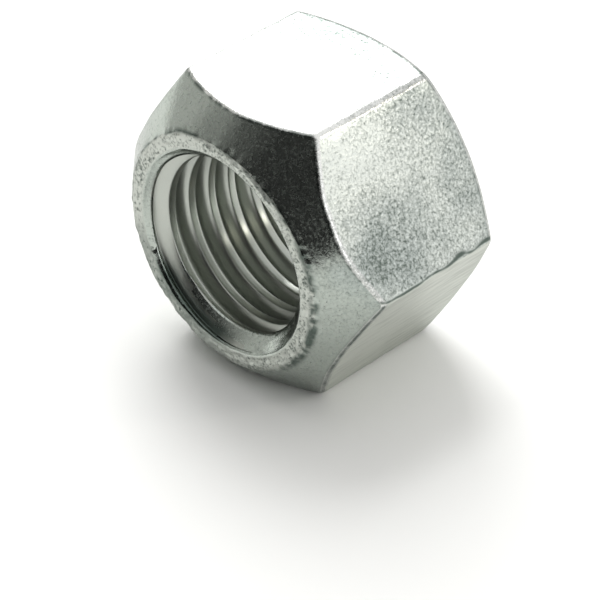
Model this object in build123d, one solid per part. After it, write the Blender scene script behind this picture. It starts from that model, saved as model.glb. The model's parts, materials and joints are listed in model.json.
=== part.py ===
from build123d import *
import os
from math import cos, radians, tan

# An open wheel nut, forged in one piece: a hexagonal body with a conical seat turned on its nose,
# a chamfered rear end and a threaded bore right through.
# It lies on one of its flats, as it comes to rest. The bore runs along Y with the nose towards -Y,
# and the origin is on the surface that it lies on, below the middle of the nut.
# Lengths are in millimetres and angles in degrees.

# Thread, metric fine. The bore is cut to the thread's minor diameter.
thread_diameter = 12.0
thread_pitch = 1.5
thread_flank_angle = 60.0  # between the two flanks
thread_depth_share = 5 / 8  # of the sharp thread's height, from the major to the minor diameter

# Countersinks, which open just past the thread's major diameter
mouth_angle = 90.0  # included angle
nose_mouth_margin = 0.15  # past the thread, on the radius
rear_mouth_margin = 0.25
mouth_edge_radius = 0.12

# Nose: a flat ring round the mouth, then the cone that seats in the wheel
ring_width = 0.85
ring_edge_radius = 0.25  # tumbled edge between the ring and the cone
seat_angle = 90.0  # included angle
seat_width = 1.5  # on the radius, from the ring to the middle of a flat

# Hexagonal body, 17 mm across its flats with the sizes above
sides = 6
height = 12.0
corner_radius = 0.5  # forged corners between the flats
flat_edge_radius = 0.25  # burnished edges of the flats, at both ends

# Rear end: the face, and a chamfer that clips the corners and just breaks the flats
rear_chamfer_width = 0.45  # on the radius, at the middle of a flat
rear_chamfer_angle = 30.0  # from the rear face
rear_edge_radius = 0.2

# How far a cutting shape runs past what it cuts
overrun = 1.0

# Radii and heights that follow from the sizes above, with the nut's middle at height zero
thread_height = thread_pitch / 2 / tan(radians(thread_flank_angle / 2))
major_radius = thread_diameter / 2
minor_radius = major_radius - thread_depth_share * thread_height
nose_mouth_radius = major_radius + nose_mouth_margin
rear_mouth_radius = major_radius + rear_mouth_margin
nose_radius = nose_mouth_radius + ring_width
flat_distance = nose_radius + seat_width
rear_radius = flat_distance - rear_chamfer_width
corner_distance = flat_distance / cos(radians(180 / sides))
nose_level = height / 2
rear_level = -height / 2


def turned_blank():
    """Everything that is round about the bore, in one section turned about Z, with the nose up."""
    mouth_slope = tan(radians(mouth_angle / 2))
    seat_slope = tan(radians(seat_angle / 2))
    chamfer_slope = tan(radians(rear_chamfer_angle))
    reach = corner_distance + overrun

    rear_mouth_edge = (rear_mouth_radius, 0, rear_level)
    rear_edge = (rear_radius, 0, rear_level)
    ring_edge = (nose_radius, 0, nose_level)
    nose_mouth_edge = (nose_mouth_radius, 0, nose_level)
    section = make_face(
        Polyline(
            (minor_radius, 0, rear_level + (rear_mouth_radius - minor_radius) / mouth_slope),
            rear_mouth_edge,
            rear_edge,
            (reach, 0, rear_level + (reach - rear_radius) * chamfer_slope),
            (reach, 0, nose_level - (reach - nose_radius) / seat_slope),
            ring_edge,
            nose_mouth_edge,
            (minor_radius, 0, nose_level - (nose_mouth_radius - minor_radius) / mouth_slope),
            close=True,
        )
    )
    rounds = (
        (rear_mouth_edge, mouth_edge_radius),
        (rear_edge, rear_edge_radius),
        (ring_edge, ring_edge_radius),
        (nose_mouth_edge, mouth_edge_radius),
    )
    for edge, radius in rounds:
        corner = section.vertices().sort_by_distance(edge)[0]
        section = fillet(corner, radius)
    return revolve(section, Axis.Z)


def hexagonal_bar():
    """The six flats and the rounded corners between them, along Z."""
    outline = RegularPolygon(flat_distance, sides, major_radius=False)
    outline = fillet(outline.vertices(), corner_radius)
    return extrude(outline, nose_level, both=True)


def round_flat_edges(nut):
    """Rounds the edges where the seat and the rear chamfer cut the flats and the corners."""
    curved = (GeomType.HYPERBOLA, GeomType.BSPLINE)
    edges = nut.edges().filter_by(lambda edge: edge.geom_type in curved)
    return fillet(edges, flat_edge_radius)


nut = round_flat_edges(hexagonal_bar() & turned_blank())
wheel_nut = Pos(0, 0, flat_distance) * Rot(90, 0, 0) * nut
wheel_nut.label = "wheel_nut"

os.makedirs("parts", exist_ok=True)
export_step(wheel_nut, "parts/wheel_nut.step")
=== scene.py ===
import json
from collections import namedtuple
from math import atan2, ceil, copysign, cos, hypot, pi, radians, sin, sqrt, tan
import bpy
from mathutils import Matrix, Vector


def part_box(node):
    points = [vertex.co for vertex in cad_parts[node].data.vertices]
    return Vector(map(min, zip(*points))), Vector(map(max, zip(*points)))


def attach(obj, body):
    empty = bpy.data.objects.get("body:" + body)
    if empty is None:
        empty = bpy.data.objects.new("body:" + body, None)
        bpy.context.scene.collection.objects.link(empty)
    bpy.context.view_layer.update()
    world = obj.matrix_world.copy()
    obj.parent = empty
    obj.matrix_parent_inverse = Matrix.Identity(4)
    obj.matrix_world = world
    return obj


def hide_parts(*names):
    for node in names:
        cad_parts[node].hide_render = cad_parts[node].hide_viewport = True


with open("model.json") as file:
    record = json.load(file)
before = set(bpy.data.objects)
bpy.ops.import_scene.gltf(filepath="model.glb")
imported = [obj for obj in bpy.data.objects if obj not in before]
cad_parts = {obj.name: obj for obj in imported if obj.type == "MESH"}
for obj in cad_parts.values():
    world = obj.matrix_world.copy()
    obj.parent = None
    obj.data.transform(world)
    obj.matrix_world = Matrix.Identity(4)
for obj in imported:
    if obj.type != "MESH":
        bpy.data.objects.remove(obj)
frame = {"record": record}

from types import SimpleNamespace

import bmesh
import bpy
from bpy.props import FloatProperty, FloatVectorProperty, PointerProperty
from mathutils import Matrix, Vector, noise

# A zinc plated wheel nut: hexagonal, with a conical seat on its nose and a thread right through.
# It lies on one flat with the bore along Y and the nose towards -Y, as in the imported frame.

bl_info = {
    "name": "Wheel nut",
    "version": (1, 0, 0),
    "blender": (4, 5, 0),
    "location": "3D View > Sidebar > Wheel nut",
    "description": "Builds a zinc plated wheel nut with its thread and lights it on a pale floor",
    "category": "Add Mesh",
}

MM = 1000.0  # meshes are worked in millimetres and scaled to metres at the end
SIDES = 6
HALF_SIDE = pi / SIDES  # half of the angle that a side takes up
COLUMNS = 360  # steps round the bore, a multiple of the sides
TOUCH = 1e-4  # mm, closer than this is the same place
NEAR = TOUCH * 10  # mm, the same place after it was worked out in two ways
WHITE = (1.0, 1.0, 1.0)

# The nut's materials, by how the surface was made
FORGED, DRAWN, TURNED, CROPPED, TAPPED, BURNISHED = range(6)

# Opposite flats and opposite corners are alike. They are numbered from +X towards +Z.
KINDS = SIDES // 2
DRAWN_FLAT = 2
LINED_CORNER = 0
BURNISHED_CORNER = 1

# Places round the bore, as angles from +X towards +Z
RUBBED_TURN = radians(65)  # where the seat eats into the ring
RUBBED_REACH = radians(50)  # and how far to either side
NICK_TURN = radians(203)
RING_TORN_TURN = radians(230)
SINK_DARK_TURN = radians(241)
LOWER_TURN = radians(290)
RIGHT_TURN = radians(350)

# Lines of painted shade along an edge, dark plate that stands in for dark reflections there: how strong,
# how far from the edge and half how wide, in mm
Line = namedtuple("Line", "strength place half_width")
RING_LINE = Line(1.2, 0.18, 0.18)
SEAT_LINE = Line(1.6, 0.18, 0.14)
DRAWN_SEAT_LINE = Line(1.3, 0.0, 0.28)
REAR_LINE = Line(1.4, 0.10, 0.18)
FLAT_REAR_LINE = Line(0.8, -0.2, 0.15)
LINED_CORNER_LINE = Line(1.8, 0.1, 0.17)
BURNISHED_CORNER_LINE = Line(1.0, 0.26, 0.13)

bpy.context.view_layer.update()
nut_low, nut_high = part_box("wheel_nut")
thread_mount = next(mount for mount in frame["record"]["mounts"] if mount["name"] == "thread")


def linear(hex_colour):
    """A colour as the shaders want it, from its sRGB hex value."""
    channels = [int(hex_colour[place:place + 2], 16) / 255 for place in (0, 2, 4)]
    return tuple(c / 12.92 if c <= 0.04045 else ((c + 0.055) / 1.055) ** 2.4 for c in channels)


def length(name, description, metres):
    """A length in metres that the user can change."""
    return FloatProperty(
        name=name, description=description, default=metres, min=0.0, precision=5,
        subtype="DISTANCE", unit="LENGTH",
    )


def turn(name, description, degrees):
    """An angle that the user can change."""
    return FloatProperty(
        name=name, description=description, default=radians(degrees), subtype="ANGLE", unit="ROTATION",
    )


def colour(name, description, hex_colour):
    """A colour that the user can change."""
    return FloatVectorProperty(
        name=name, description=description, default=linear(hex_colour), min=0.0, max=1.0, size=3,
        subtype="COLOR",
    )


def power(name, description, watts):
    """A light's power that the user can change."""
    return FloatProperty(
        name=name, description=description, default=watts, min=0.0, precision=3, unit="POWER",
    )


class NutSizes(bpy.types.PropertyGroup):
    """Sizes of the nut."""
    across_flats: length("Across flats", "Spanner size", nut_high.z - nut_low.z)
    height: length("Height", "From the nose's ring to the rear face", nut_high.y - nut_low.y)
    minor_radius: length("Minor radius", "Thread's crests from the axis", thread_mount["dims"]["r_mm"] / MM)
    pitch: length("Pitch", "From one crest of the thread to the next", 0.0015)
    thread_lead: length("Thread lead", "Where the first crest comes behind the nose", 0.00062)
    nose_mouth: length("Nose mouth radius", "Countersink at the nose", 0.00615)
    rear_mouth: length("Rear mouth radius", "Countersink at the rear", 0.00625)
    ring: length("Ring radius", "Outside of the flat ring on the nose", 0.0070)
    rear_face: length("Rear face radius", "Where the rear chamfer starts", 0.00805)
    corner_radius: length("Corner radius", "Rounding between two flats", 0.0005)
    edge_break: length("Mouth edge", "Width of the broken edge at each mouth", 0.00006)
    ring_round: length("Ring edge", "Rounding at the ring's outer edge", 0.00028)
    ring_rub: length("Ring rub", "How far the seat eats into the ring at its upper right", 0.0004)
    seat_round: length("Seat edge", "Rounding between the seat and the flats", 0.00018)
    rear_round: length("Rear edge", "Rounding between the flats and the rear chamfer", 0.00020)
    forge_depth: length("Forged unevenness", "How deep the flats wander", 0.00004)
    ring_depth: length("Ring unevenness", "How deep the marks in the ring are", 0.00010)
    sink_depth: length("Countersink unevenness", "How deep the tap tore the nose's countersink", 0.00003)
    corner_depth: length("Corner unevenness", "How deep the corners are chewed", 0.00006)
    nick_depth: length("Nick", "Depth of the nick in the nose mouth's edge", 0.00016)
    edge_wander: length("Edge wander", "How far the seat's edge wanders over a flat", 0.00007)
    seat_angle: turn("Seat angle", "Included angle of the cone", 90.0)
    mouth_angle: turn("Mouth angle", "Included angle of the countersinks", 90.0)
    chamfer_angle: turn("Chamfer angle", "Rear chamfer, from the rear face", 30.0)


class NutFinish(bpy.types.PropertyGroup):
    """Colours and grain of the plating."""
    plate: colour("Plating", "Clean zinc plate", "dfe4df")
    plate_drawn: colour("Plating on drawn flats", "Zinc plate on the two smooth flats", "d1d4cd")
    plate_ring: colour("Plating on the ring", "Zinc plate on the cropped nose", "c6cac3")
    # This dark plate is also the colour of the painted shade, along the edges and on the flats
    plate_dull_and_shade: colour("Dull plating", "Zinc plate in the rough spots", "5c6660")
    plate_blue: colour("Passivated plating", "Bluish patches of the passivation", "b4bfc2")
    seat: colour("Seat plating", "Thin zinc plate on the turned seat", "b4bbb4")
    burnish: colour("Burnished plating", "Edges rubbed bright", "ecedea")
    # Darker than the plate outside: thin plate in the thread, and painted shade for the depth of the bore
    thread: colour("Thread plating", "Thin zinc plate in the thread", "b8bcb5")
    grain: length("Grain", "Size of the plating's mottle", 0.00016)
    patch: length("Patches", "Size of the plating's cloudy patches", 0.0032)


class NutStage(bpy.types.PropertyGroup):
    """Camera, floor and light."""
    azimuth: turn("Camera azimuth", "Camera's direction round the nut", 46.324)
    elevation: turn("Camera elevation", "Camera's height over the floor", 36.218)
    roll: turn("Camera roll", "Camera's turn about its own axis", -1.590)
    distance: length("Camera distance", "From the nut's middle", 0.1606)
    aim_right: length("Aim right", "Picture's middle, right of the nut's middle", 0.00008)
    aim_down: length("Aim down", "Picture's middle, below the nut's middle", 0.00503)
    lens: FloatProperty(
        name="Lens", description="Focal length in mm on a 36 mm sensor", default=175.97, unit="CAMERA",
    )
    floor: colour("Floor", "Matt white sweep", "f2f2f0")
    flag: colour("Flag", "Black flag over the side flat", "1c1c1c")
    card_dark: colour("Card, dark end", "Graded card on the camera's side", "383838")
    card_light: colour("Card, light end", "Graded card on the camera's left", "b8b8b6")
    card_end: colour("Card, far end", "Graded card beyond its light end", "cfcfcd")
    key_power: power("Key light", "Softbox behind the nut, in watts", 1.1)
    strip_power: power("Strip light", "Strip on the right, in watts", 0.05)
    rear_power: power("Rear light", "Small light behind the bore, in watts", 0.065)
    rear_colour: colour("Rear light colour", "Warm white of the small light", "fff8ea")
    sky: FloatProperty(name="Fill light", description="Strength of the white surroundings", default=0.94)


def measures(sizes):
    """Radii and stations in millimetres; a station is along the bore from the nut's middle."""
    m = SimpleNamespace()
    for name in NutSizes.__annotations__:
        setattr(m, name, getattr(sizes, name) * MM)
    m.flat = m.across_flats / 2
    m.corner = m.flat / cos(HALF_SIDE)
    m.nose = -m.height / 2
    m.rear = m.height / 2
    m.seat_slope = tan(sizes.seat_angle / 2)
    m.mouth_slope = tan(sizes.mouth_angle / 2)
    m.chamfer_slope = tan(sizes.chamfer_angle)
    m.seat_back = m.nose + (m.corner - m.ring) / m.seat_slope
    m.chamfer_front = m.rear - (m.corner - m.rear_face) * m.chamfer_slope
    # A metric thread is cut to five eighths of the height of its sharp triangle
    m.major_radius = m.minor_radius + 5 / 8 * m.pitch * sqrt(3) / 2
    return m


def clamp(share):
    """A share, kept between none and all."""
    return min(max(share, 0), 1)


def from_corner(angle):
    """The angle from the nearest corner, negative before it."""
    return (angle + HALF_SIDE) % (2 * HALF_SIDE) - HALF_SIDE


def flat_number(angle):
    """Which of the pairs of flats an angle is on."""
    return round((angle - HALF_SIDE) / (2 * HALF_SIDE)) % KINDS


def corner_number(angle):
    """Which of the pairs of corners an angle is nearest to."""
    return round(angle / (2 * HALF_SIDE)) % KINDS


def hexagon_radius(angle, m):
    """How far the hexagon's outline is from the axis, with its corners rounded."""
    off_corner = abs(from_corner(angle))
    centre = (m.flat - m.corner_radius) / cos(HALF_SIDE)
    end = atan2(m.corner_radius * sin(HALF_SIDE), centre + m.corner_radius * cos(HALF_SIDE))
    if off_corner < end:
        return centre * cos(off_corner) + sqrt(m.corner_radius ** 2 - (centre * sin(off_corner)) ** 2)
    return m.flat / cos(HALF_SIDE - off_corner)


def ring_edge(angle, m):
    """The ring's outer radius; the seat eats into the ring at its upper right."""
    off = abs((angle - RUBBED_TURN + pi) % (2 * pi) - pi)
    return m.ring - m.ring_rub * cos(min(off / RUBBED_REACH, 1) * pi / 2)


def seat_wander(angle, m):
    """How far the seat's edge is off its place along the bore."""
    waves = 6  # in a radian
    level = 0.5  # noise is nothing at its whole numbers, so it is read between two
    return m.edge_wander * noise.noise((waves * cos(angle), waves * sin(angle), level))


def seat_front(angle, hexagon, m):
    """Where along the bore the seat meets the hexagon."""
    return m.nose + (hexagon - m.ring) / m.seat_slope + seat_wander(angle, m)


def chamfer_back(hexagon, m):
    """Where along the bore the rear chamfer meets the hexagon."""
    return m.rear - (hexagon - m.rear_face) * m.chamfer_slope


def arcs(distance, width, angle, waves):
    """Noise drawn out round the bore, a width in mm and about so many waves in a radian."""
    return noise.noise((distance / width, waves * cos(angle), waves * sin(angle)))


def polyline(bm, points):
    """A chain of edges through points of radius and station."""
    chain = [bm.verts.new((radius, station, 0)) for radius, station in points]
    for pair in zip(chain, chain[1:]):
        bm.edges.new(pair)
    return chain


def pressed(radius, station, angle, m):
    """Where a point of the turned blank goes as the flats are pressed into it."""
    hexagon = hexagon_radius(angle, m)
    ring = ring_edge(angle, m)
    if radius > m.corner - NEAR:
        front = seat_front(angle, hexagon, m)
        share = (station - m.seat_back) / (m.chamfer_front - m.seat_back)
        return hexagon, front + share * (chamfer_back(hexagon, m) - front)
    if station < m.seat_back and radius > m.ring:
        share = (radius - m.ring) / (m.corner - m.ring)
        drop = (share * (hexagon - m.ring) - (radius - m.ring)) / m.seat_slope
        return ring + share * (hexagon - ring), station + drop + seat_wander(angle, m) * share
    if station > m.chamfer_front and radius > m.rear_face:
        share = (hexagon - m.rear_face) / (m.corner - m.rear_face)
        radius = m.rear_face + (radius - m.rear_face) * share
        return radius, chamfer_back(radius, m)
    if station < 0:
        mouth = m.nose_mouth + m.edge_break
        return radius - (radius - mouth) / (m.ring - mouth) * (m.ring - ring), station
    return radius, station


def make_body(bm, m):
    """Spins the outside of the nut as a turned blank, then presses the six flats into it."""
    # How often each face is divided, so that it can round, wear and carry marks
    end_cuts, corner_cuts, seat_cuts, flat_cuts = 9, 2, 11, 40
    chain = polyline(bm, (
        (m.nose_mouth + m.edge_break, m.nose),
        (m.ring, m.nose),
        (m.corner, m.seat_back),
        (m.corner, m.chamfer_front),
        (m.rear_face, m.rear),
        (m.rear_mouth + m.edge_break, m.rear),
    ))
    bmesh.ops.bevel(
        bm, geom=[chain[1]], offset=m.ring_round, offset_type="OFFSET", segments=4, profile=0.5,
        affect="VERTICES", material=-1,
    )
    ends = [edge for edge in bm.edges if abs(edge.verts[0].co.y - edge.verts[1].co.y) < TOUCH]
    bmesh.ops.subdivide_edges(bm, edges=ends, cuts=end_cuts)
    bmesh.ops.spin(
        bm, geom=bm.verts[:] + bm.edges[:], cent=(0, 0, 0), axis=(0, 1, 0), angle=2 * pi,
        steps=COLUMNS, use_merge=True,
    )

    # Finer columns at the corners, so that they round
    step = 2 * pi / COLUMNS
    corner_reach = 2 * step
    near_corner = []
    for edge in bm.edges:
        first, second = (hypot(vert.co.x, vert.co.z) for vert in edge.verts)
        middle = (edge.verts[0].co + edge.verts[1].co) / 2
        level = abs(edge.verts[0].co.y - edge.verts[1].co.y) < TOUCH
        off_corner = abs(from_corner(atan2(middle.z, middle.x)))
        if level and abs(first - second) < NEAR and off_corner < corner_reach:
            near_corner.append(edge)
    bmesh.ops.subdivide_edges(bm, edges=near_corner, cuts=corner_cuts)

    loops = {}
    for vert in bm.verts:
        angle = atan2(vert.co.z, vert.co.x)
        # A vertex of a finer column lies on its chord and goes out to the arc
        radius = hypot(vert.co.x, vert.co.z) * cos(angle % step - step / 2) / cos(step / 2)
        for name, at_station in (("seat", m.seat_back), ("chamfer", m.chamfer_front)):
            if abs(vert.co.y - at_station) < NEAR and abs(radius - m.corner) < NEAR:
                loops[vert] = name
        radius, station = pressed(radius, vert.co.y, angle, m)
        vert.co = (radius * cos(angle), station, radius * sin(angle))

    rounds = (("seat", m.seat_round), ("chamfer", m.rear_round))
    chosen = {
        name: [e for e in bm.edges if loops.get(e.verts[0]) == loops.get(e.verts[1]) == name]
        for name, offset in rounds
    }
    for name, offset in rounds:
        rounded = bmesh.ops.bevel(
            bm, geom=chosen[name], offset=offset, offset_type="OFFSET", segments=3, profile=0.5,
            affect="EDGES", loop_slide=True, material=-1,
        )
        for face in rounded["faces"]:
            face.material_index = BURNISHED

    # The seat and the flats are divided along the bore, so that they can be worn
    shortest_flat = m.height / 3
    shortest_seat = m.height / 16
    seat_edges = []
    flat_edges = []
    for edge in bm.edges:
        long = abs(edge.verts[0].co.y - edge.verts[1].co.y)
        if long > shortest_flat:
            flat_edges.append(edge)
        elif long > shortest_seat and edge.verts[0].co.y < 0:
            seat_edges.append(edge)
    bmesh.ops.subdivide_edges(bm, edges=seat_edges, cuts=seat_cuts)
    bmesh.ops.subdivide_edges(bm, edges=flat_edges, cuts=flat_cuts)


def make_thread(bm, m):
    """One turn of the thread along a helix, repeated, opened by the countersinks and trimmed."""
    # Shares of the pitch: crests are wide and flat between broken edges, roots are tight
    root_end, crest_start, crest_end, root_start = 0.02, 0.33, 0.67, 0.98
    crest_break = m.pitch / 20
    root_break = m.pitch / 60
    chain = polyline(bm, (
        (m.major_radius, 0),
        (m.major_radius, m.pitch * root_end),
        (m.minor_radius, m.pitch * crest_start),
        (m.minor_radius, m.pitch * crest_end),
        (m.major_radius, m.pitch * root_start),
        (m.major_radius, m.pitch),
    ))
    root, crest = (chain[1], chain[4]), (chain[2], chain[3])
    for corners, offset, segments in ((crest, crest_break, 3), (root, root_break, 1)):
        bmesh.ops.bevel(
            bm, geom=corners, offset=offset, offset_type="OFFSET", segments=segments, profile=0.5,
            affect="VERTICES", material=-1,
        )
    shortest = m.pitch / 5
    flank_cuts = 2
    flanks_and_crest = [edge for edge in bm.edges if edge.calc_length() > shortest]
    bmesh.ops.subdivide_edges(bm, edges=flanks_and_crest, cuts=flank_cuts)
    bmesh.ops.spin(
        bm, geom=bm.verts[:] + bm.edges[:], cent=(0, 0, 0), axis=(0, 1, 0), angle=2 * pi,
        dvec=(0, m.pitch / COLUMNS, 0), steps=COLUMNS,
    )

    # Two turns start before the nose, and the first crest is half a pitch into its turn
    spare_turns = 3
    turns_before = 2.5
    first_turn = bm.verts[:] + bm.edges[:] + bm.faces[:]
    for count in range(1, ceil(m.height / m.pitch) + spare_turns):
        copy = bmesh.ops.duplicate(bm, geom=first_turn)["geom"]
        verts = [item for item in copy if isinstance(item, bmesh.types.BMVert)]
        bmesh.ops.translate(bm, verts=verts, vec=(0, count * m.pitch, 0))
    bmesh.ops.remove_doubles(bm, verts=bm.verts[:], dist=NEAR)
    start = m.nose + m.thread_lead - turns_before * m.pitch
    bmesh.ops.translate(bm, verts=bm.verts[:], vec=(0, start, 0))

    for vert in bm.verts:
        radius = hypot(vert.co.x, vert.co.z)
        nose_wall = m.nose_mouth - (vert.co.y - m.nose) * m.mouth_slope
        rear_wall = m.rear_mouth - (m.rear - vert.co.y) * m.mouth_slope
        opened = max(radius, nose_wall, rear_wall)
        vert.co.x *= opened / radius
        vert.co.z *= opened / radius
    for station, side in ((m.nose + m.edge_break, -1), (m.rear - m.edge_break, 1)):
        bmesh.ops.bisect_plane(
            bm, geom=bm.verts[:] + bm.edges[:] + bm.faces[:], dist=TOUCH / 10,
            plane_co=(0, station, 0), plane_no=(0, side, 0), clear_outer=True,
        )


def zone(bm, m):
    """Gives each face the material of the way in which that surface was made."""
    # How much of a face's normal points along the bore or, for the bore's own faces, away from its axis
    bore_lean = -0.1
    ring_lean = -0.8
    seat_lean = -0.6
    rear_lean = 0.95
    flat_lean = 0.2
    sink_skin = 0.03  # mm, how far off the countersink's wall a face of it can lie
    corner_reach = atan2(m.corner_radius * sin(HALF_SIDE), m.corner) * 1.1  # a little past the rounding
    for face in bm.faces:
        face.smooth = True
        middle = face.calc_center_median()
        radius = hypot(middle.x, middle.z)
        outward = (face.normal.x * middle.x + face.normal.z * middle.z) / radius
        along = face.normal.y
        angle = atan2(middle.z, middle.x)
        at_corner = abs(from_corner(angle)) < corner_reach
        on_burnished_corner = at_corner and corner_number(angle) == BURNISHED_CORNER
        if outward < bore_lean:
            nose_wall = m.nose_mouth - (middle.y - m.nose) * m.mouth_slope
            face.material_index = TURNED if radius < nose_wall + sink_skin else TAPPED
        elif face.material_index == BURNISHED:
            continue
        elif along < ring_lean and radius < ring_edge(angle, m) + m.ring_round / 2:
            face.material_index = CROPPED
        elif on_burnished_corner and abs(along) < flat_lean:
            face.material_index = BURNISHED
        elif along < seat_lean or along > rear_lean:
            face.material_index = TURNED
        elif flat_number(angle) == DRAWN_FLAT and abs(along) < flat_lean:
            face.material_index = DRAWN
        else:
            face.material_index = FORGED


def side(angle, middle, sharpness):
    """How much an angle is on one side of the bore: 1 in that side's middle, below 0 far from it."""
    return sharpness * (cos(angle - middle) - 1) + 1


def shown(line, distance, wander=0, more=0):
    """How dark a line of painted shade makes the plate at a distance from its edge, if it wanders or is
    stronger there.
    """
    return (line.strength + more) * (1 - abs(distance - line.place - wander) / line.half_width)


def sink_mark(deep, angle):
    """How dark the nose's countersink and first groove are made, most at the lower left and in the outer
    half.
    """
    mouth_end = 0.8  # mm behind the nose
    if deep >= mouth_end:
        return 0
    # Most of it is at the lower left, between these two cosines, and in the outer half
    none_past, all_within = 0.81, 0.93
    most = clamp((cos(angle - SINK_DARK_TURN) - none_past) / (all_within - none_past))
    inner_end, fade = 0.75, 0.3
    outer = clamp((inner_end - deep) / fade)
    least, strength, swing = 0.1, 1.15, 0.5
    arc_width, arc_waves = 0.12, 4
    streaks = strength + swing * arcs(deep, arc_width, angle, arc_waves)
    return min(most * (least + (1 - least) * outer) * streaks, 1)


def edge_mark(co, radius, angle, m):
    """How dark the outside is made: the strongest of the broken lines on the ring and along the flats. The
    ring's torn lower left is darker plate; the other lines are painted shade for dark reflections along the
    edges.
    """
    # Sizes in mm of the noise that breaks the lines up, and how much of a line it leaves
    fleck, stretch, patch = 0.28, 0.9, 1.2
    fine_share, fine_swing = 0.6, 1.1
    steady_share, steady_swing = 0.9, 0.5
    broken = noise.noise(co / stretch)
    patchy = noise.noise(co / fleck) + noise.noise(co / patch)
    fine = clamp(fine_share + fine_swing * patchy)
    steady = clamp(steady_share + steady_swing * patchy)

    hexagon = hexagon_radius(angle, m)
    ring = ring_edge(angle, m)
    behind_nose = co.y - m.nose
    front = seat_front(angle, hexagon, m)
    back = chamfer_back(hexagon, m)
    from_ring = copysign(hypot(radius - ring, behind_nose), radius - ring)
    from_seat = hypot(radius - hexagon, co.y - front)
    from_rear = copysign(hypot(radius - hexagon, co.y - back), co.y - back)

    # The ring's line of painted shade wanders, and is weaker at its lower right
    wide, narrow = 2, 3
    ring_drift, ring_ease = 0.16, 0.9
    weaker = ring_ease * max(0, side(angle, LOWER_TURN, wide))
    lines = [
        fine * shown(RING_LINE, from_ring, wander=ring_drift * broken, more=-weaker),
        steady * shown(REAR_LINE, from_rear),
    ]

    # The ring was torn most at its lower left, and its outer edge on the right is painted dark, as painted
    # shade
    torn_reach, shaded_reach = 0.1, 0.4  # mm, behind the nose and past the ring
    torn_strength, shaded_strength = 0.8, 1.4
    if behind_nose < torn_reach:
        lines.append(steady * torn_strength * side(angle, RING_TORN_TURN, narrow))
    if behind_nose < shaded_reach:
        right = max(0, side(angle, RIGHT_TURN, wide))
        inner_fade, outer_fade = 0.25, 0.2
        outer = clamp((radius - ring + inner_fade) / inner_fade)
        inner = clamp((ring + shaded_reach - radius) / outer_fade)
        lines.append(fine * shaded_strength * right * outer * inner)

    # Lines of painted shade along the seat's edge and, on the forged flats, along the rear edge
    if flat_number(angle) == DRAWN_FLAT:
        lines.append(steady * shown(DRAWN_SEAT_LINE, from_seat))
    else:
        on_seat = from_seat if co.y < front else 0
        lines.append(fine * shown(SEAT_LINE, on_seat, more=broken))
        lines.append(steady * shown(FLAT_REAR_LINE, from_rear, more=broken))

    # The corners carry lines of painted shade, broken up
    skin = 0.1  # mm, how deep below the hexagon a corner's line goes
    off_corner = from_corner(angle) * radius
    if hexagon - radius < skin:
        if corner_number(angle) == LINED_CORNER:
            corner_drift, drift_size = 0.3, 1.3
            wander = corner_drift * noise.noise(co / drift_size)
            lines.append(steady * shown(LINED_CORNER_LINE, off_corner, wander=wander, more=broken))
        elif corner_number(angle) == BURNISHED_CORNER:
            lines.append(fine * shown(BURNISHED_CORNER_LINE, off_corner, more=broken))
    return clamp(max(lines))


def mark(bm, m):
    """Marks where the plate is made darker, as a share at each vertex that the materials read: the ring's
    torn lower left, the countersink's lower left and lines of painted shade along the edges.
    """
    dull_and_shade = bm.verts.layers.float.new("dull_and_shade")
    for vert in bm.verts:
        radius = hypot(vert.co.x, vert.co.z)
        angle = atan2(vert.co.z, vert.co.x)
        if radius < m.nose_mouth:
            vert[dull_and_shade] = sink_mark(vert.co.y - m.nose, angle)
        else:
            vert[dull_and_shade] = edge_mark(vert.co, radius, angle, m)


def wear(bm, m):
    """Lets the flats, corners, ring and countersink wander a little, always into the metal."""
    # Sizes in mm: the dents, how far the ring's and the corners' wear reaches, and the nick
    slow_dent, quick_dent, chew_dent = 1.7, 0.36, 0.9
    sink_arc, ring_arc = 0.3, 0.22
    sink_waves, ring_waves = 3, 9  # in a radian
    sink_fade, ring_fade, ring_start, ring_end = 0.2, 0.3, 0.1, 0.3
    corner_width, corner_skin = 0.6, 0.3
    nick_back, nick_width = 0.1, 0.28
    nick = Vector((m.nose_mouth * cos(NICK_TURN), m.nose + nick_back, m.nose_mouth * sin(NICK_TURN)))
    mean = 0.5  # half of each depth is worn all over, and noise takes that up or down
    moves = []
    for vert in bm.verts:
        radius = hypot(vert.co.x, vert.co.z)
        angle = atan2(vert.co.z, vert.co.x)
        slow = noise.noise(vert.co / slow_dent)
        quick = noise.noise(vert.co / quick_dent)
        deep = vert.co.y - m.nose
        depth = 0
        if radius < m.nose_mouth and abs(radius - m.nose_mouth + deep * m.mouth_slope) < NEAR:
            streaks = arcs(deep, sink_arc, angle, sink_waves)
            depth = m.sink_depth * min(deep / sink_fade, 1) * (mean + streaks)
        elif vert.co.y < m.nose + ring_end:
            # Torn arcs run round the bore, as a crop tool leaves them
            streaks = arcs(radius, ring_arc, angle, ring_waves)
            whole = clamp((radius - m.nose_mouth + ring_start) / ring_fade)
            depth = whole * m.ring_depth * (mean + 0.2 * slow + 0.5 * quick + 0.5 * streaks)
        elif radius > m.ring:
            depth = m.forge_depth * (mean + 0.4 * slow + 0.15 * quick)
            at_corner = max(0, 1 - abs(from_corner(angle)) * radius / corner_width)
            at_skin = max(0, 1 - (hexagon_radius(angle, m) - radius) / corner_skin)
            chewed = mean + 0.6 * noise.noise(vert.co / chew_dent) + 0.25 * quick
            depth += m.corner_depth * at_corner * at_skin * chewed
        depth += m.nick_depth * max(0, 1 - (vert.co - nick).length / nick_width)
        moves.append((vert, vert.normal * max(depth, 0)))
    for vert, move in moves:
        vert.co -= move


def node(tree, kind, settings, inputs):
    """Adds a node, gives it its settings, and sets or links its inputs."""
    made = tree.nodes.new(kind)
    for key, value in settings.items():
        setattr(made, key, value)
    for key, value in inputs.items():
        if isinstance(value, bpy.types.NodeSocket):
            tree.links.new(value, made.inputs[key])
        else:
            made.inputs[key].default_value = value
    return made


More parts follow.
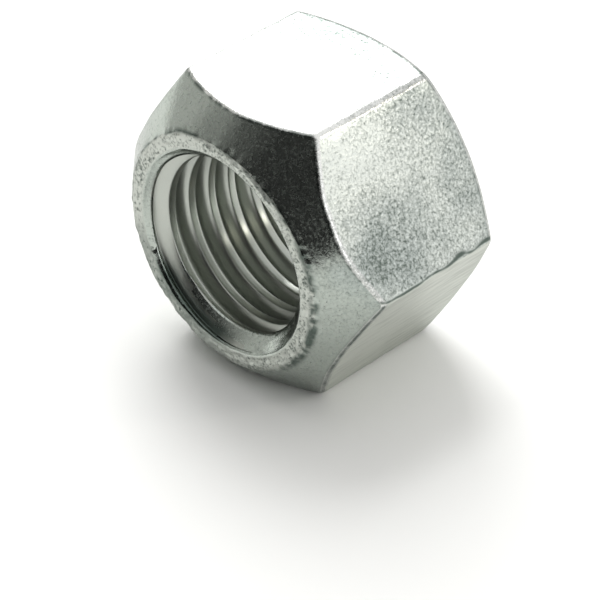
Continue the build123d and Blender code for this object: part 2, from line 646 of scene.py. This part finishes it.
def plated(name, finish, shade, spots, clouds, roughness, bump, fineness=(1, 1, 1)):
    """Zinc plate: a metal with dark spots and squiggles in its grain, cloudy patches and fine bumps.
    Painted shade darkens it towards the rear and the top, in one patch on the side flat and along the lines
    marked on the mesh.
    """
    material = bpy.data.materials.new(name)
    material.use_nodes = True
    tree = material.node_tree
    tree.nodes.clear()
    place = node(tree, "ShaderNodeTexCoord", {}, {}).outputs["Object"]
    drawn = node(tree, "ShaderNodeMapping", {}, {"Vector": place, "Scale": fineness}).outputs[0]
    # The plate's crystals are a few microns wide, too fine to show.
    # They are drawn as coarse as the pits of a forged skin, with squiggles of a few pits each.
    squiggle_size = 2.5 * finish.grain
    grain = node(tree, "ShaderNodeTexNoise", {}, {
        "Vector": drawn, "Scale": 1 / finish.grain, "Detail": 2.0, "Roughness": 0.7,
    }).outputs[0]
    coarse = node(tree, "ShaderNodeTexNoise", {}, {
        "Vector": drawn, "Scale": 1 / squiggle_size, "Detail": 1.0, "Roughness": 0.5,
    }).outputs[0]
    patch = node(tree, "ShaderNodeTexNoise", {}, {
        "Vector": place, "Scale": 1 / finish.patch, "Detail": 2.0, "Roughness": 0.5,
    }).outputs[0]
    # The plate is painted duller towards the rear and the top: painted shade for how the light falls over
    # the faces
    rear_and_top = (0, 1, 0.15)
    painted_shade_fall = node(tree, "ShaderNodeVectorMath", {"operation": "DOT_PRODUCT"}, {
        0: place, 1: rear_and_top,
    }).outputs["Value"]
    painted_shade_fall = node(tree, "ShaderNodeMapRange", {}, {
        "Value": painted_shade_fall, "From Min": 0.0002, "From Max": 0.0064, "To Min": -0.03, "To Max": 0.36,
    }).outputs[0]
    patch_share = 0.5
    patch = node(tree, "ShaderNodeMath", {"operation": "MULTIPLY_ADD"}, {
        0: patch, 1: patch_share, 2: painted_shade_fall,
    }).outputs[0]
    # One patch of painted shade lies on the side flat, towards the seat, where a dark reflection falls
    dark_patch_middle = (0.0087, -0.0022, 0.0104)
    painted_dark_patch = node(tree, "ShaderNodeVectorMath", {"operation": "DISTANCE"}, {
        0: place, 1: dark_patch_middle,
    }).outputs["Value"]
    painted_dark_patch = node(tree, "ShaderNodeMapRange", {}, {
        "Value": painted_dark_patch, "From Min": 0.0, "From Max": 0.005, "To Min": 0.58, "To Max": 0.0,
    }).outputs[0]
    patch = node(tree, "ShaderNodeMath", {"operation": "ADD"}, {0: patch, 1: painted_dark_patch}).outputs[0]
    # Squiggles lie where the coarse noise crosses its middle
    noise_middle = 0.5
    crossing = node(tree, "ShaderNodeMath", {"operation": "PINGPONG"}, {
        0: coarse, 1: noise_middle,
    }).outputs[0]
    squiggle = node(tree, "ShaderNodeMapRange", {}, {
        "Value": crossing, "From Min": 0.42, "From Max": noise_middle, "To Min": 0.0, "To Max": 0.12,
    }).outputs[0]
    speckle = node(tree, "ShaderNodeMath", {"operation": "ADD"}, {0: grain, 1: squiggle}).outputs[0]
    cloud_share = 0.6
    cloudy = node(tree, "ShaderNodeMath", {"operation": "MULTIPLY_ADD"}, {
        0: patch, 1: cloud_share, 2: speckle,
    }).outputs[0]
    dull_and_shade = node(tree, "ShaderNodeMapRange", {}, {
        "Value": cloudy, "From Min": 0.65, "From Max": 1.15, "To Min": 0.0, "To Max": spots,
    }).outputs[0]
    # The mesh's marks: darker plate where the ring was torn and at the countersink's lower left, and lines
    # of painted shade along the edges
    marked = node(tree, "ShaderNodeAttribute", {"attribute_name": "dull_and_shade"}, {}).outputs["Fac"]
    dull_and_shade = node(tree, "ShaderNodeMath", {"operation": "MAXIMUM"}, {0: dull_and_shade, 1: marked}).outputs[0]
    cloud = node(tree, "ShaderNodeMapRange", {}, {
        "Value": patch, "From Min": 0.45, "From Max": 0.7, "To Min": 0.0, "To Max": clouds,
    }).outputs[0]
    # A colour mix has its factor at 0, its two colours at 6 and 7 and its result at 2
    tinted = node(tree, "ShaderNodeMix", {"data_type": "RGBA"}, {
        0: cloud, 6: (*shade, 1.0), 7: (*finish.plate_blue, 1.0),
    }).outputs[2]
    mottled = node(tree, "ShaderNodeMix", {"data_type": "RGBA"}, {
        0: dull_and_shade, 6: tinted, 7: (*finish.plate_dull_and_shade, 1.0),
    }).outputs[2]
    rough = node(tree, "ShaderNodeMapRange", {}, {
        "Value": grain, "From Min": 0.4, "From Max": 0.7, "To Min": roughness[0], "To Max": roughness[1],
    }).outputs[0]
    uneven = node(tree, "ShaderNodeBump", {}, {
        "Height": grain, "Strength": 1.0, "Distance": bump,
    }).outputs[0]
    # The plate is a little darker where it is seen at a slant
    surface = node(tree, "ShaderNodeBsdfPrincipled", {}, {
        "Base Color": mottled, "Metallic": 1.0, "Roughness": rough, "Normal": uneven,
        "Specular Tint": (0.8, 0.8, 0.8, 1.0),
    }).outputs[0]
    node(tree, "ShaderNodeOutputMaterial", {}, {"Surface": surface})
    return material


def matt(name, shade):
    """A matt surface of one colour."""
    material = bpy.data.materials.new(name)
    material.use_nodes = True
    shader = material.node_tree.nodes["Principled BSDF"]
    shader.inputs["Base Color"].default_value = (*shade, 1.0)
    shader.inputs["Roughness"].default_value = 0.9
    shader.inputs["Specular IOR Level"].default_value = 0.1
    return material


def show(bm, name, materials):
    """Makes the mesh an object at the origin."""
    mesh = bpy.data.meshes.new(name)
    for material in materials:
        mesh.materials.append(material)
    bm.to_mesh(mesh)
    bm.free()
    made = bpy.data.objects.new(name, mesh)
    bpy.context.scene.collection.objects.link(made)
    return made


class WHEELNUT_OT_nut(bpy.types.Operator):
    """Build the nut, its seat and its thread"""
    bl_idname = "wheelnut.nut"
    bl_label = "Build the nut"

    def execute(self, context):
        m = measures(context.scene.nut_sizes)
        bore = bmesh.new()
        make_thread(bore, m)
        bore_mesh = bpy.data.meshes.new("bore")
        bore.to_mesh(bore_mesh)
        bore.free()
        bm = bmesh.new()
        make_body(bm, m)
        bm.from_mesh(bore_mesh)
        bpy.data.meshes.remove(bore_mesh)
        open_edges = [edge for edge in bm.edges if edge.is_boundary]
        for side in (-1, 1):
            bmesh.ops.bridge_loops(bm, edges=[e for e in open_edges if e.verts[0].co.y * side > 0])
        bmesh.ops.recalc_face_normals(bm, faces=bm.faces[:])
        if any(len(edge.link_faces) != 2 for edge in bm.edges):
            raise RuntimeError("the nut isn't closed")

        zone(bm, m)
        mark(bm, m)
        wear(bm, m)
        bmesh.ops.translate(bm, verts=bm.verts[:], vec=(0, 0, m.flat))
        bmesh.ops.scale(bm, verts=bm.verts[:], vec=(1 / MM, 1 / MM, 1 / MM))
        materials = self.materials(context.scene.nut_finish)
        nut = show(bm, "plated_nut", [materials[kind] for kind in sorted(materials)])
        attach(nut, "root")
        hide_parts("wheel_nut")
        return {"FINISHED"}

    def materials(self, finish):
        """The zinc plate on each kind of surface. Bumps are in metres."""
        streak = 16  # a drawn line is this many times as long as it is wide
        return {
            # A forged skin is pitted: bright satin, freckled grey, with bluish clouds
            FORGED: plated(
                "zinc_plate_on_forged_steel", finish, finish.plate,
                spots=1.0, clouds=0.4, roughness=(0.30, 0.42), bump=0.000014,
            ),
            # A drawn face is smooth but matt: greyer, with fine streaks along the bore
            DRAWN: plated(
                "zinc_plate_on_drawn_steel", finish, finish.plate_drawn,
                spots=0.4, clouds=0.0, roughness=(0.45, 0.55), bump=0.00001, fineness=(1, 1 / streak, 1),
            ),
            # A turned face takes thin plate: darker and shinier, so it mirrors what stands round it
            TURNED: plated(
                "zinc_plate_on_turned_steel", finish, finish.seat,
                spots=0.55, clouds=0.4, roughness=(0.12, 0.33), bump=0.00001,
            ),
            # A cropped end is torn: pale, rough and speckled, and about as light from every side
            CROPPED: plated(
                "zinc_plate_on_cropped_steel", finish, finish.plate_ring,
                spots=1.7, clouds=0.2, roughness=(0.35, 0.6), bump=0.00005, fineness=(0.8, 0.8, 0.8),
            ),
            # A tapped thread is smooth and even, so that each crest carries one clean highlight. Its darker
            # colour is partly painted shade for the bore.
            TAPPED: plated(
                "zinc_plate_on_tapped_thread", finish, finish.thread,
                spots=0.05, clouds=0.0, roughness=(0.29, 0.32), bump=0.000001,
            ),
            # An edge is rubbed against other nuts in the barrel: a bright line with dull breaks
            BURNISHED: plated(
                "zinc_plate_on_burnished_edge", finish, finish.burnish,
                spots=0.8, clouds=0.0, roughness=(0.22, 0.35), bump=0.000015,
            ),
        }


class WHEELNUT_OT_stage(bpy.types.Operator):
    """Set up the floor, the light and the camera"""
    bl_idname = "wheelnut.stage"
    bl_label = "Set up the stage"

    def execute(self, context):
        scene = context.scene
        stage = scene.nut_stage
        middle = Vector((0, 0, scene.nut_sizes.across_flats / 2))
        self.lay_floor(stage)
        self.stand_card(stage)
        self.hang_flag(stage, middle)

        self.hang_light(
            scene, "strip_light", middle, stage.strip_power,
            towards=(0.94, -0.15, 0.30), size=(0.05, 0.15),
        )
        # A small warm light shines in at the rear of the bore and picks out two crests
        self.hang_light(
            scene, "rear_light", middle, stage.rear_power,
            towards=(0.70, 0.557, 0.447), size=(0.03, 0.03), shade=stage.rear_colour,
        )
        self.hang_light(
            scene, "softbox", middle, stage.key_power,
            towards=(-0.562, 0.361, 0.743), size=(0.2, 0.3),
        )

        world = bpy.data.worlds.new("white_surroundings")
        world.use_nodes = True
        tree = world.node_tree
        tree.nodes.clear()
        light = node(tree, "ShaderNodeBackground", {}, {
            "Color": (*WHITE, 1.0), "Strength": stage.sky,
        }).outputs[0]
        node(tree, "ShaderNodeOutputWorld", {}, {"Surface": light})
        scene.world = world

        self.set_camera(scene, stage, middle)
        scene.view_settings.view_transform = "Standard"
        return {"FINISHED"}

    def lay_floor(self, stage):
        """A matt white sweep, which takes the nut's soft shadow."""
        floor_reach = 1.5  # to each side
        bm = bmesh.new()
        bmesh.ops.create_grid(bm, x_segments=1, y_segments=1, size=floor_reach)
        floor = show(bm, "floor", [matt("matt_white_sweep", stage.floor)])

    def stand_card(self, stage):
        """A graded card on the camera's side, like a studio's unlit half. The camera doesn't see it, but
        reflections do.
        """
        bm = bmesh.new()
        reach = 0.4
        top, row = 52, 4  # degrees
        first_side, sweep, columns = radians(-104), radians(161), 46
        arc = [radians(degrees) for degrees in range(0, top + 1, row)]
        strip = [bm.verts.new((0, -reach * cos(rise), reach * sin(rise))) for rise in arc]
        edges = [bm.edges.new(pair) for pair in zip(strip, strip[1:])]
        bmesh.ops.rotate(bm, verts=strip, cent=(0, 0, 0), matrix=Matrix.Rotation(first_side, 3, "Z"))
        bmesh.ops.spin(
            bm, geom=strip + edges, cent=(0, 0, 0), axis=(0, 0, 1), angle=sweep, steps=columns,
        )
        graded = matt("graded_grey_card", stage.card_dark)
        tree = graded.node_tree
        place = node(tree, "ShaderNodeSeparateXYZ", {}, {
            "Vector": node(tree, "ShaderNodeTexCoord", {}, {}).outputs["Object"],
        }).outputs
        smooth = {"interpolation_type": "SMOOTHSTEP"}
        to_left = node(tree, "ShaderNodeMapRange", smooth, {
            "Value": place["X"], "From Min": -0.1 * reach, "From Max": -1.0 * reach,
        }).outputs[0]
        to_end = node(tree, "ShaderNodeMapRange", smooth, {
            "Value": place["Y"], "From Min": -0.52 * reach, "From Max": -0.28 * reach,
        }).outputs[0]
        # Near the floor the card is as light as its far end, and further up on the camera's left
        lean = 0.4
        rise = node(tree, "ShaderNodeMath", {"operation": "MULTIPLY_ADD"}, {
            0: place["X"], 1: lean, 2: place["Z"],
        }).outputs[0]
        to_floor = node(tree, "ShaderNodeMapRange", smooth, {
            "Value": rise, "From Min": 0.18 * reach, "From Max": -0.1 * reach,
        }).outputs[0]
        shade = (*stage.card_dark, 1.0)
        blends = ((to_left, stage.card_light), (to_end, stage.card_end), (to_floor, stage.card_end))
        for share, other in blends:
            shade = node(tree, "ShaderNodeMix", {"data_type": "RGBA"}, {
                0: share, 6: shade, 7: (*other, 1.0),
            }).outputs[2]
        tree.links.new(shade, tree.nodes["Principled BSDF"].inputs["Base Color"])
        card = show(bm, "graded_card", [graded])
        card.visible_camera = False

    def hang_flag(self, stage, middle):
        """A black flag that draws a dark line along a corner. Only reflections show it."""
        flag_size = (0.10, 0.04, 1)
        flag_distance = 0.3
        towards = Vector((0.62, 0.56, 0.55)).normalized()
        bm = bmesh.new()
        # A square of one metre, scaled to the flag's two sides
        bmesh.ops.create_grid(bm, x_segments=1, y_segments=1, size=0.5)
        bmesh.ops.scale(bm, verts=bm.verts[:], vec=flag_size)
        facing = towards.to_track_quat("Z", "Y").to_matrix()
        bmesh.ops.rotate(bm, verts=bm.verts[:], cent=(0, 0, 0), matrix=facing)
        bmesh.ops.translate(bm, verts=bm.verts[:], vec=middle + towards * flag_distance)
        flag = show(bm, "flag", [matt("black_flag", stage.flag)])
        flag.visible_camera = False
        flag.visible_diffuse = False
        flag.visible_shadow = False

    def hang_light(self, scene, name, middle, watts, towards, size, shade=WHITE):
        """A soft rectangular light that faces the nut, out of the camera's sight."""
        light_distance = 0.35
        light = bpy.data.lights.new(name, "AREA")
        light.shape = "RECTANGLE"
        light.size, light.size_y = size
        light.energy = watts
        light.color = shade
        lamp = bpy.data.objects.new(name, light)
        towards = Vector(towards).normalized()
        lamp.location = middle + towards * light_distance
        lamp.rotation_euler = towards.to_track_quat("Z", "Y").to_euler()
        lamp.visible_camera = False
        scene.collection.objects.link(lamp)

    def set_camera(self, scene, stage, middle):
        """The camera, round the nut's middle and turned a little about its own axis."""
        lens = bpy.data.cameras.new("camera")
        lens.lens = stage.lens
        lens.clip_start = 0.01
        camera = bpy.data.objects.new("camera", lens)
        level = cos(stage.elevation)
        back = Vector((sin(stage.azimuth) * level, -cos(stage.azimuth) * level, sin(stage.elevation)))
        right = Vector((cos(stage.azimuth), sin(stage.azimuth), 0))
        up = back.cross(right)
        tilted_right = right * cos(stage.roll) + up * sin(stage.roll)
        tilted_up = up * cos(stage.roll) - right * sin(stage.roll)
        aim = middle + tilted_right * stage.aim_right - tilted_up * stage.aim_down
        turned = Matrix((tilted_right, tilted_up, back)).transposed().to_4x4()
        camera.matrix_world = Matrix.Translation(aim + back * stage.distance) @ turned
        scene.collection.objects.link(camera)
        scene.camera = camera


class WHEELNUT_PT_panel(bpy.types.Panel):
    """Sizes, finish and stage of the nut"""
    bl_idname = "WHEELNUT_PT_panel"
    bl_label = "Wheel nut"
    bl_space_type = "VIEW_3D"
    bl_region_type = "UI"
    bl_category = "Wheel nut"

    def draw(self, context):
        for group in (context.scene.nut_sizes, context.scene.nut_finish, context.scene.nut_stage):
            box = self.layout.box()
            for name in group.__annotations__:
                box.prop(group, name)
        self.layout.operator(WHEELNUT_OT_nut.bl_idname)
        self.layout.operator(WHEELNUT_OT_stage.bl_idname)


classes = (NutSizes, NutFinish, NutStage, WHEELNUT_OT_nut, WHEELNUT_OT_stage, WHEELNUT_PT_panel)


def register():
    for cls in classes:
        bpy.utils.register_class(cls)
    bpy.types.Scene.nut_sizes = PointerProperty(type=NutSizes)
    bpy.types.Scene.nut_finish = PointerProperty(type=NutFinish)
    bpy.types.Scene.nut_stage = PointerProperty(type=NutStage)


def unregister():
    del bpy.types.Scene.nut_stage
    del bpy.types.Scene.nut_finish
    del bpy.types.Scene.nut_sizes
    for cls in reversed(classes):
        bpy.utils.unregister_class(cls)


def main():
    """Builds the nut and its stage."""
    register()
    bpy.ops.wheelnut.nut()
    bpy.ops.wheelnut.stage()


if __name__ == "__main__":
    main()
